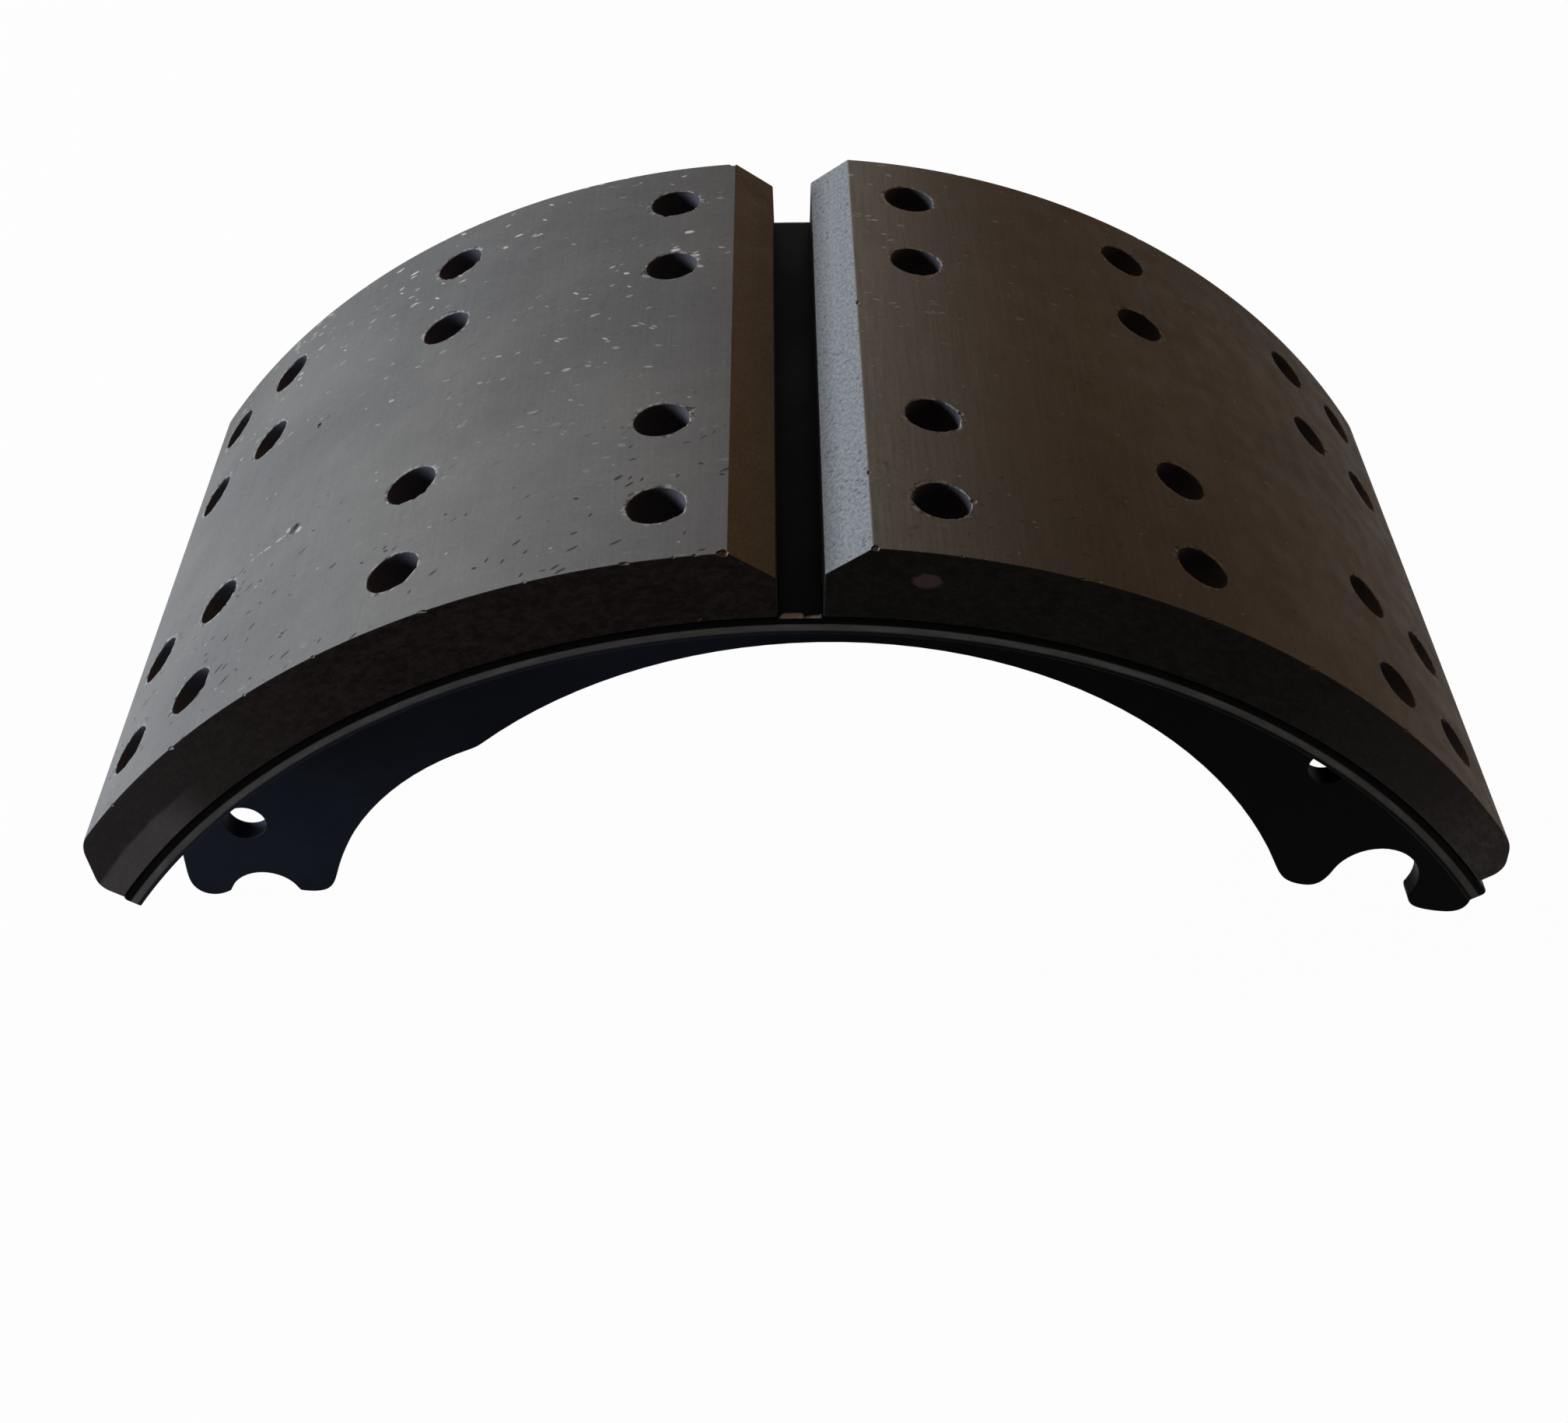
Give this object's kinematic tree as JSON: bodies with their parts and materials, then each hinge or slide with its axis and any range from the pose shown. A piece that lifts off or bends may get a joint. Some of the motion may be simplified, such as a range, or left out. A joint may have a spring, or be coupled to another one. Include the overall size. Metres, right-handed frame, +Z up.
{
  "type": "brake shoe",
  "caption": "Curved steel drum brake shoe with two arched webs and riveted friction lining blocks, notched for an anchor pin and a cam roller",
  "frame": {"origin": "Bottom centre of the bounding box, on the plane that the feet of the two webs stand on", "axes": "+X runs along the shoe from the cam roller end to the anchor pin end, +Y runs along the drum axis from the front web to the rear web, +Z points up towards the lining's crown"},
  "size_m": [0.3684, 0.1778, 0.173],
  "materials": {
    "shoe_paint": "satin black paint over steel",
    "lining": "machined moulded friction composite, matt with pale fibres",
    "rivet_steel": "dull plated steel"
  },
  "bodies": {
    "root": {"shoe_table": "shoe_paint", "web_front": "shoe_paint", "web_rear": "shoe_paint", "lining_cam_block": "lining", "lining_anchor_block": "lining", "rivets_cam_1_inner": "rivet_steel", "rivets_cam_1_outer": "rivet_steel", "rivets_cam_2_inner": "rivet_steel", "rivets_cam_2_outer": "rivet_steel", "rivets_cam_3_inner": "rivet_steel", "rivets_cam_3_outer": "rivet_steel", "rivets_cam_4_inner": "rivet_steel", "rivets_cam_4_outer": "rivet_steel", "rivets_anchor_1_inner": "rivet_steel", "rivets_anchor_1_outer": "rivet_steel", "rivets_anchor_2_inner": "rivet_steel", "rivets_anchor_2_outer": "rivet_steel", "rivets_anchor_3_inner": "rivet_steel", "rivets_anchor_3_outer": "rivet_steel", "rivets_anchor_4_inner": "rivet_steel", "rivets_anchor_4_outer": "rivet_steel", "weld_front_outer": "shoe_paint", "weld_front_inner": "shoe_paint", "weld_rear_inner": "shoe_paint", "weld_rear_outer": "shoe_paint"}
  },
  "joints": []
}
